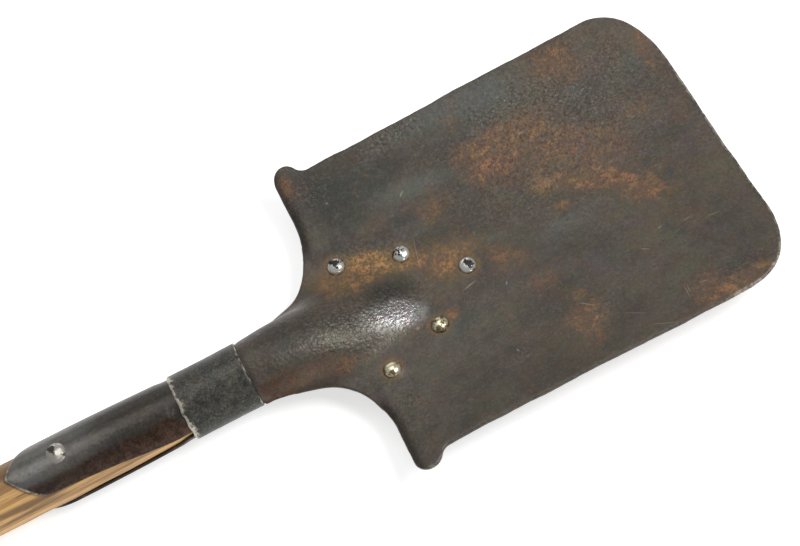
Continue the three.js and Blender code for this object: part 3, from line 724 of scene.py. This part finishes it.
class Graph:
    """Short calls for a material's nodes. Sizes are the width of one feature, in millimetres."""

    def __init__(self, name):
        self.material = bpy.data.materials.new(name)
        self.material.use_nodes = True
        self.tree = self.material.node_tree
        self.shader = self.tree.nodes["Principled BSDF"]
        self.place = self.node("ShaderNodeTexCoord").outputs["Object"]

    def node(self, kind, inputs=None, **settings):
        node = self.tree.nodes.new(kind)
        for key, value in settings.items():
            setattr(node, key, value)
        for key, value in (inputs or {}).items():
            self.feed(node.inputs[key], value)
        return node

    def feed(self, socket, value):
        if isinstance(value, bpy.types.NodeSocket):
            self.tree.links.new(value, socket)
        elif isinstance(value, tuple) and len(value) == 3 and len(socket.default_value) == 4:
            socket.default_value = (*value, 1)
        else:
            socket.default_value = value

    def mapped(self, shift=(0, 0, 0), turn=(0, 0, 0), scale=(1, 1, 1), kind="POINT"):
        inputs = {"Vector": self.place, "Location": shift, "Rotation": turn, "Scale": scale}
        return self.node("ShaderNodeMapping", inputs, vector_type=kind).outputs["Vector"]

    def stretched(self, squeeze, shift=0):
        """Coordinates that make features long along the handle."""
        return self.mapped((shift, 0, 0), scale=(squeeze, 1, 1))

    def noise(self, size, detail=3.0, rough=0.55, distort=0.0, shift=0.0, place=None):
        inputs = {"Vector": place or self.mapped((shift, shift * 0.7, 0)), "Scale": 1 / (size * MM),
                  "Detail": detail, "Roughness": rough, "Distortion": distort}
        return self.node("ShaderNodeTexNoise", inputs).outputs["Fac"]

    def cells(self, size, place):
        inputs = {"Vector": place, "Scale": 1 / (size * MM)}
        return self.node("ShaderNodeTexVoronoi", inputs, feature="F1").outputs["Distance"]

    def painted(self, name):
        return self.node("ShaderNodeAttribute", attribute_name=name).outputs["Fac"]

    def math(self, operation, *values):
        node = self.node("ShaderNodeMath", operation=operation)
        for socket, value in zip(node.inputs, values):
            self.feed(socket, value)
        return node.outputs[0]

    def plus(self, a, b):
        return self.math("ADD", a, b)

    def times(self, a, b):
        return self.math("MULTIPLY", a, b)

    def swing(self, noise, amount):
        """A noise, which lies around a half, as a change around zero."""
        return self.times(self.plus(noise, -0.5), amount)

    def ramp(self, value, low, high, start=0.0, end=1.0):
        """A smooth step from start to end while value goes from low to high."""
        inputs = {"Value": value, "From Min": low, "From Max": high, "To Min": start, "To Max": end}
        return self.node("ShaderNodeMapRange", inputs, interpolation_type="SMOOTHSTEP").outputs["Result"]

    def mix(self, colour, other, factor, kind="MIX"):
        inputs = {0: factor, 6: colour, 7: other}
        return self.node("ShaderNodeMix", inputs, data_type="RGBA", blend_type=kind).outputs[2]

    def coats(self, colour, coats):
        """Lays coats over a colour, each (its colour, how much it covers)."""
        for coat, cover in coats:
            colour = self.mix(colour, coat, cover)
        return colour

    def tint(self, colour, size, strength, shift):
        """Small changes of hue and lightness in patches of the given size."""
        inputs = {"Vector": self.mapped((shift, -shift, 0)), "Scale": 1 / (size * MM), "Detail": 3.0}
        drift = self.node("ShaderNodeTexNoise", inputs).outputs["Color"]
        lift = self.mix((1.0, 1.0, 1.0), drift, 2.5 * strength, "LINEAR_LIGHT")
        return self.mix(colour, lift, 1.0, "MULTIPLY")

    def blend(self, value, other, factor):
        return self.node("ShaderNodeMix", {0: factor, 2: value, 3: other}, data_type="FLOAT").outputs[0]

    def bump(self, height, depth):
        """Bumps of the given depth in millimetres."""
        inputs = {"Strength": 1.0, "Distance": depth * MM, "Height": height}
        return self.node("ShaderNodeBump", inputs).outputs["Normal"]

    def finish(self, colour, roughness, metallic, normal):
        self.feed(self.shader.inputs["Base Color"], colour)
        self.feed(self.shader.inputs["Roughness"], roughness)
        self.feed(self.shader.inputs["Metallic"], metallic)
        self.feed(self.shader.inputs["Normal"], normal)
        return self.material


def scratches(g):
    """Thin tapered marks on the blade's front."""
    total = 0.0
    for x, y, half_length, half_width, turn in SCRATCHES:
        place = g.mapped((SHOULDER_X + x * MM, y * MM, 0), (0, 0, math.radians(turn)),
                         (half_length * MM, half_width * MM, 10), "TEXTURE")
        mark = g.node("ShaderNodeTexGradient", {"Vector": place}, gradient_type="SPHERICAL")
        total = g.math("MAXIMUM", total, mark.outputs["Fac"])
    return g.ramp(total, 0.05, 0.75)


def steel_fields(g):
    """The noises that every layer of the blade's steel shares."""
    f = SimpleNamespace()
    f.broad = g.noise(30, 4, 0.62, 0.4)
    f.middle = g.noise(9, 4, 0.65, 0.6, 0.3)
    f.small = g.noise(3.0, 3, 0.65, 0.3, 0.6)
    f.grain = g.noise(0.8, 2, 0.6, 0.0, 0.9)
    f.speckle = g.noise(1.5, 4, 0.8, 0.2, 0.45)
    f.patchy = g.plus(g.swing(f.middle, 1.6), g.swing(f.small, 1.1))
    return f


def broken(g, f, name, amount):
    """A painted patch whose edge is broken up by the noise."""
    return g.plus(g.painted(name), g.times(f.patchy, amount))


def dark_steel(g, f):
    """Brown-black steel with olive, mauve, darker and greyer places."""
    base = g.mix((0.063, 0.054, 0.044), (0.094, 0.079, 0.060), g.ramp(f.broad, 0.36, 0.64))
    olive = g.ramp(g.noise(15, 4, 0.6, 0.5, 1.2), 0.50, 0.70, 0, 0.5)
    mauve = g.ramp(g.noise(13, 4, 0.6, 0.5, 1.7), 0.50, 0.70, 0, 0.5)
    plain = g.ramp(g.plus(g.painted("dark"), g.painted("grey")), 0.1, 0.4, 1, 0)
    f.grey = g.ramp(broken(g, f, "grey", 0.6), 0.0, 1.15)
    return g.coats(base, [
        ((0.078, 0.080, 0.054), olive),
        ((0.098, 0.078, 0.080), g.times(mauve, plain)),
        ((0.046, 0.037, 0.030), g.ramp(f.patchy, 0.0, 0.7, 0, 0.6)),
        ((0.029, 0.032, 0.027), g.ramp(broken(g, f, "dark", 0.7), 0.05, 1.15, 0, 0.8)),
        ((0.092, 0.100, 0.090), g.times(f.grey, 0.85)),
    ])


def rusted(g, f, colour):
    """Red-brown and ochre rust, with brighter specks and crust, and a ring round each rivet."""
    f.rust = g.ramp(broken(g, f, "rust", 0.8), -0.1, 1.3)
    f.ochre = g.ramp(broken(g, f, "ochre", 0.5), 0.0, 1.2)
    bloom = g.plus(g.plus(g.times(f.small, 0.7), g.times(f.grain, 0.45)), g.times(f.middle, 0.5))
    tender = g.plus(g.painted("rust"), g.times(g.painted("ochre"), 0.8))
    specks = g.times(g.ramp(bloom, 0.81, 1.01), g.ramp(tender, 0.2, 1.1))
    crust = g.ramp(g.plus(f.speckle, g.times(f.small, 0.8)), 0.84, 1.06)
    crust = g.times(crust, g.ramp(g.painted("ochre"), 0.45, 1.0))
    return g.coats(colour, [
        ((0.147, 0.080, 0.042), g.times(f.rust, 0.9)),
        ((0.205, 0.119, 0.044), g.times(f.ochre, 0.9)),
        ((0.37, 0.178, 0.070), g.times(specks, 0.85)),
        ((0.56, 0.275, 0.080), g.times(crust, 0.8)),
        ((0.165, 0.098, 0.040), g.ramp(broken(g, f, "rivet_rings", 0.5), 0.05, 0.8, 0, 0.75)),
        ((0.022, 0.018, 0.014), g.ramp(g.painted("rivet_rings"), 0.75, 1.0, 0, 0.85)),
    ])


def handled(g, f, colour):
    """Bare steel on the tongue, painted shade over mottled red-brown oxide on the socket's side away from
    the lights, dark shoulders and the ridge's polish.
    """
    tip = g.ramp(broken(g, f, "tip_polish", 0.3), 0.0, 1.0)
    bare = g.mix((0.052, 0.046, 0.040), (0.175, 0.168, 0.155), tip)
    # Painted shade on the socket's side away from the lights, over mottled red-brown oxide.
    f.low = g.ramp(broken(g, f, "painted_shade_side", 0.7), 0.05, 0.95)
    mottle = g.ramp(g.plus(f.small, g.times(f.grain, 0.5)), 0.62, 0.90)
    brown = g.mix((0.036, 0.020, 0.014), (0.085, 0.050, 0.036), mottle)
    f.polished = g.ramp(broken(g, f, "bright", 0.6), 0.1, 1.0)
    return g.coats(colour, [
        (bare, g.times(g.painted("socket"), g.ramp(f.middle, 0.3, 0.6, 0.7, 0.95))),
        (brown, g.times(f.low, 0.9)),
        ((0.030, 0.022, 0.022), g.times(g.painted("shoulder_edge"), 0.6)),
        ((0.30, 0.30, 0.285), g.times(f.polished, 0.75)),
    ])


def pitted(g, f, colour):
    """Small changes of hue, light and dark flecks (fewer in the socket's painted shade), and the pits'
    shading painted into the colour: painted highlights on the bumps and painted shade in the pits.
    """
    place = g.ramp(g.plus(g.painted("pitted"), g.swing(f.middle, 1.2)), 0.0, 1.0, 0.12, 1.0)
    pits = g.ramp(g.cells(1.6, g.mapped((0.11, 0.07, 0.0))), 0.1, 0.8)
    f.pebble = g.times(g.plus(g.times(pits, -0.8), g.times(g.plus(f.small, f.grain), 0.6)), place)
    fleck = g.times(g.blend(0.26, 0.95, place), g.ramp(f.low, 0, 1, 1.0, 0.4))
    relief = g.plus(g.times(f.grain, 0.5), f.pebble)
    tinted = g.tint(g.tint(colour, 13, 0.055, 1.0), 3.5, 0.05, 2.0)
    return g.coats(tinted, [
        ((0.21, 0.195, 0.165), g.times(g.ramp(f.speckle, 0.50, 0.68), g.times(fleck, 0.5))),
        ((0.026, 0.022, 0.018), g.times(g.ramp(f.speckle, 0.50, 0.34), g.times(fleck, 0.75))),
        # Painted highlight on the raised relief and painted shade in the pits.
        ((0.19, 0.175, 0.15), g.ramp(relief, 0.32, 0.85, 0, 0.2)),
        ((0.020, 0.016, 0.013), g.ramp(relief, 0.22, -0.25, 0, 0.35)),
    ])


def worn(g, f, colour):
    """Scratches, and bare metal along the far edge and the tongue's tip."""
    f.marks = scratches(g)
    rim = g.ramp(broken(g, f, "edge_gap", -0.8), 1.2, 0.2)
    wear = g.times(g.times(rim, g.painted("edge_wear")), g.ramp(f.small, 0.4, 0.6, 0.1, 1))
    tip_edge = g.times(g.painted("tip_edge"), g.ramp(broken(g, f, "edge_gap", -0.6), 1.1, 0.5))
    return g.coats(colour, [
        ((0.42, 0.37, 0.28), g.times(f.marks, 0.32)),
        ((0.38, 0.34, 0.28), g.times(wear, 0.8)),
        ((0.62, 0.60, 0.56), g.times(tip_edge, g.ramp(f.small, 0.42, 0.58, 0.25, 0.9))),
    ])


def blade_material():
    g = Graph("aged_blade_steel")
    f = steel_fields(g)
    colour = dark_steel(g, f)
    for layer in (rusted, handled, pitted, worn):
        colour = layer(g, f, colour)
    socket = g.painted("socket")
    dull = g.math("MAXIMUM", f.rust, f.ochre)
    roughness = g.blend(g.ramp(f.small, 0.3, 0.7, 0.36, 0.5), 0.66, dull)
    roughness = g.blend(roughness, 0.42, g.times(f.grey, 0.7))
    roughness = g.blend(roughness, 0.30, f.polished)
    # Rougher and nearly all metal where the socket's painted shade lies.
    roughness = g.blend(roughness, g.blend(0.34, 0.5, f.low), socket)
    metallic = g.blend(g.blend(0.5, 0.1, dull), 0.85, f.polished)
    metallic = g.blend(g.blend(metallic, 0.75, socket), 0.97, f.low)
    height = g.plus(g.times(f.pebble, 0.75), g.times(g.plus(f.small, g.times(f.grain, 0.5)), 0.35))
    normal = g.bump(g.plus(height, g.times(f.marks, -0.3)), 0.30)
    return g.finish(colour, roughness, metallic, normal)


def strap_material():
    g = Graph("aged_strap_steel")
    middle = g.noise(9, 4, 0.6, 0.5, 1.3)
    small = g.noise(2.4, 3, 0.6, 0.2, 1.6)
    grain = g.noise(0.9, 2, 0.6, 0.0, 1.9)
    rust = g.ramp(g.plus(middle, g.times(small, 0.6)), 0.82, 1.02)
    colour = g.coats((0.050, 0.042, 0.035), [
        ((0.078, 0.064, 0.050), g.ramp(middle, 0.35, 0.65)),
        ((0.125, 0.068, 0.038), g.times(rust, 0.75)),
        ((0.14, 0.13, 0.11), g.ramp(grain, 0.56, 0.78, 0, 0.3)),
    ])
    height = g.plus(g.times(small, 0.6), g.times(grain, 0.3))
    return g.finish(colour, g.blend(0.42, 0.7, rust), g.blend(0.6, 0.15, rust), g.bump(height, 0.22))


def collar_material():
    g = Graph("aged_collar_steel")
    middle = g.noise(7, 4, 0.6, 0.5, 2.3)
    small = g.noise(2.2, 3, 0.6, 0.2, 2.6)
    grain = g.noise(0.8, 2, 0.6, 0.0, 2.9)
    stain = g.ramp(g.plus(middle, g.times(small, 0.5)), 0.80, 0.98)
    # low: painted shade on the collar's side away from the lights, a darker colour and nearly all metal.
    low = g.ramp(g.plus(g.painted("painted_shade_side"), g.swing(middle, 1.8)), 0.1, 1.1)
    mottle = g.plus(g.times(small, 0.5), g.times(grain, 0.5))
    chipped = g.plus(g.swing(small, 1.6), g.swing(middle, 2.0))
    rim = g.ramp(g.plus(g.painted("rim"), chipped), 0.35, 0.95)
    rim = g.times(rim, g.ramp(g.painted("rim"), 0.05, 0.4))
    colour = g.coats((0.050, 0.050, 0.044), [
        ((0.078, 0.074, 0.063), g.ramp(middle, 0.35, 0.65)),
        ((0.105, 0.078, 0.040), g.times(stain, 0.6)),
        ((0.036, 0.037, 0.032), g.times(low, 0.8)),
        ((0.145, 0.145, 0.125), g.ramp(mottle, 0.50, 0.64, 0, 0.45)),
        ((0.020, 0.020, 0.017), g.ramp(mottle, 0.51, 0.37, 0, 0.7)),
        ((0.15, 0.14, 0.12), g.ramp(grain, 0.54, 0.74, 0, 0.45)),
        ((0.55, 0.51, 0.42), g.times(rim, 0.85)),
    ])
    height = g.plus(g.times(small, 0.6), g.times(grain, 0.3))
    metallic = g.blend(g.blend(0.55, 0.97, low), 0.55, rim)
    roughness = g.blend(g.ramp(small, 0.35, 0.65, 0.36, 0.48), 0.4, rim)
    return g.finish(colour, roughness, metallic, g.bump(height, 0.16))


def rivet_material(name, clean, tarnish_and_reflection, amount, reflection_spot_strength, shift):
    """Worn metal, tarnished in blotches, with more of the dark colour in the spot painted on the head, by as
    much as the spot's strength says: there it is partly tarnished metal, partly a painted dark reflection.
    """
    g = Graph(name)
    blotches = g.noise(3.6, 3, 0.55, 0.5, shift)
    grain = g.noise(0.8, 2, 0.6, 0.0, 3.9)
    # The head's spot: partly tarnished metal, partly a painted dark reflection.
    spot = g.times(g.painted("reflection_spot_mask"), reflection_spot_strength)
    tarnish_and_painted_reflection = g.ramp(g.plus(g.plus(blotches, g.times(grain, 0.25)), spot), 0.76 - amount, 0.86 - amount)
    colour = g.mix(clean, tarnish_and_reflection, g.times(tarnish_and_painted_reflection, 0.97))
    return g.finish(colour, g.blend(0.25, 0.55, tarnish_and_painted_reflection), g.blend(0.85, 0.95, tarnish_and_painted_reflection),
                    g.bump(g.plus(blotches, g.times(grain, 0.3)), 0.06))


def wood_material():
    """Straight-grained ash: growth rings round an axis beside the shaft, and long fibres."""
    g = Graph("ash_handle_wood")
    drift = g.noise(60, 3, 0.5, 0.2, place=g.stretched(0.25))
    place = g.mapped((0, 0.031, 0.004), (0, 0, 0.012), (0.12, 1, 1))
    rings = {"Vector": place, "Scale": 62, "Distortion": 1.6, "Detail": 2.0, "Detail Scale": 0.6}
    bands = g.node("ShaderNodeTexWave", rings, wave_type="RINGS", rings_direction="X", wave_profile="SAW")
    fibre = g.noise(1.3, 3, 0.6, place=g.stretched(0.035))
    streaks = g.noise(4.5, 3, 0.6, 0.3, place=g.stretched(0.05, 0.3))
    pores = g.noise(0.5, 1, 0.5, place=g.stretched(0.06))
    stain = g.ramp(g.plus(g.painted("stain"), g.swing(fibre, 1.0)), 0.1, 0.9)
    colour = g.coats((0.46, 0.250, 0.088), [
        ((0.69, 0.415, 0.158), g.ramp(bands.outputs["Fac"], 0.05, 0.95)),
        ((0.22, 0.110, 0.040), g.ramp(streaks, 0.50, 0.68, 0, 0.75)),
        ((0.28, 0.150, 0.060), g.ramp(fibre, 0.48, 0.70, 0, 0.7)),
        ((0.72, 0.46, 0.205), g.ramp(drift, 0.50, 0.75, 0, 0.5)),
        ((0.10, 0.052, 0.022), g.ramp(pores, 0.60, 0.74, 0, 0.7)),
        ((0.16, 0.088, 0.038), g.times(stain, 0.8)),
    ])
    height = g.plus(g.times(fibre, 0.5), g.times(pores, -0.5))
    return g.finish(colour, g.ramp(fibre, 0.3, 0.7, 0.45, 0.62), 0.0, g.bump(height, 0.12))


def sweep_material():
    """The white table, lit from below as well, so that shadows stay faint."""
    g = Graph("white_sweep")
    g.feed(g.shader.inputs["Emission Color"], (1.0, 1.0, 1.0))
    g.shader.inputs["Emission Strength"].default_value = 0.6
    return g.finish((0.8, 0.8, 0.8), 0.9, 0.0, g.bump(g.noise(3, 2), 0.01))


def set_material(piece, material):
    piece.data.materials.clear()
    piece.data.materials.append(material)


def set_rivet_materials(rivets):
    """White metal, yellower on the two rivets of the lower side, and duller on the handle."""
    # The bright and pale rivets get a painted dark reflection, mixed with tarnished metal, in a spot on the
    # head.
    bright = rivet_material("worn_rivet_steel", (0.86, 0.85, 0.79), (0.022, 0.020, 0.018), 0.09, 0.17, 3.3)
    brassy = rivet_material("tarnished_rivet_steel", (0.80, 0.73, 0.52), (0.16, 0.12, 0.065), 0.12, 0.0, 3.3)
    pale = rivet_material("pale_rivet_steel", (0.56, 0.53, 0.47), (0.07, 0.062, 0.052), 0.07, 0.3, 7.4)
    for rivet, material in zip(rivets, (bright, brassy, bright, brassy, bright, pale)):
        set_material(rivet, material)


def make_spade():
    blade = make_blade()
    paint_blade(blade)
    set_material(blade, blade_material())
    set_material(make_strap(), strap_material())
    set_material(make_collar(), collar_material())
    handle = make_handle()
    paint_handle(handle)
    set_material(handle, wood_material())
    set_rivet_materials(make_rivets())


# The photographer's side: the handle slants in the picture, and the camera aims at a point given in
# millimetres along the handle from the shoulders and across it.
SLANT = math.radians(27.4)
AIM = (31.3, 8.4)
CAMERA_DISTANCE = 1.51
FLOOR_SIDE = 3.0
FLOOR_DROP = 0.0003  # clears the knob's small dents


def make_floor():
    mesh = bpy.data.meshes.new("floor")
    corners = [(-1, -1), (1, -1), (1, 1), (-1, 1)]
    z = cad_low.z - FLOOR_DROP
    mesh.from_pydata([(x * FLOOR_SIDE, y * FLOOR_SIDE, z) for x, y in corners], [], [(0, 1, 2, 3)])
    floor = bpy.data.objects.new("floor", mesh)
    show(floor)
    set_material(floor, sweep_material())


def view_axes():
    """Along the handle, across it in the picture, and towards the camera."""
    along = Vector((1, 0, 0))
    across = Vector((0, math.cos(ROLL), math.sin(ROLL)))
    towards = Vector((0, -math.sin(ROLL), math.cos(ROLL)))
    return along, across, towards


def aim_point():
    along, across, _ = view_axes()
    return Vector((SHOULDER_X, 0, AXIS_Z)) + (along * AIM[0] + across * AIM[1]) * MM


def make_camera():
    along, across, towards = view_axes()
    right = along * math.cos(SLANT) - across * math.sin(SLANT)
    up = along * math.sin(SLANT) + across * math.cos(SLANT)
    data = bpy.data.cameras.new("camera")
    data.sensor_width = 36
    data.lens = 157.5
    camera = bpy.data.objects.new("camera", data)
    turn = Matrix((right, up, towards)).transposed().to_4x4()
    camera.matrix_world = Matrix.Translation(aim_point() + towards * CAMERA_DISTANCE) @ turn
    show(camera)
    bpy.context.scene.camera = camera


def softbox(name, direction, distance, size, power):
    """A rectangular area light that faces the point the camera aims at."""
    data = bpy.data.lights.new(name, "AREA")
    data.shape = "RECTANGLE"
    data.size, data.size_y = size
    data.energy = power
    light = bpy.data.objects.new(name, data)
    direction = direction.normalized()
    light.location = aim_point() + direction * distance
    light.rotation_mode = "QUATERNION"
    light.rotation_quaternion = direction.to_track_quat("Z", "Y")
    show(light)


def make_lights():
    """A main softbox beside the camera, a wide dim one above, one at the side and a small low one."""
    along, across, towards = view_axes()
    world = bpy.data.worlds.new("studio")
    world.use_nodes = True
    world.node_tree.nodes["Background"].inputs["Color"].default_value = (0.98, 0.99, 1.0, 1)
    world.node_tree.nodes["Background"].inputs["Strength"].default_value = 0.27
    bpy.context.scene.world = world
    softbox("softbox_main", along * 0.5 + across * 0.12 + towards * 0.86, 1.6, (0.55, 0.55), 15)
    softbox("softbox_wide", along * -0.05 + across * 0.72 + towards * 0.69, 1.6, (1.0, 1.0), 5.5)
    softbox("softbox_side", across * 0.99 - towards * 0.08, 1.7, (1.6, 0.6), 2.4)
    softbox("softbox_low", along * 0.05 - across * 0.75 + towards * 0.66, 1.6, (0.3, 0.3), 1.5)


make_spade()
make_floor()
make_camera()
make_lights()
bpy.context.scene.view_settings.view_transform = "Standard"
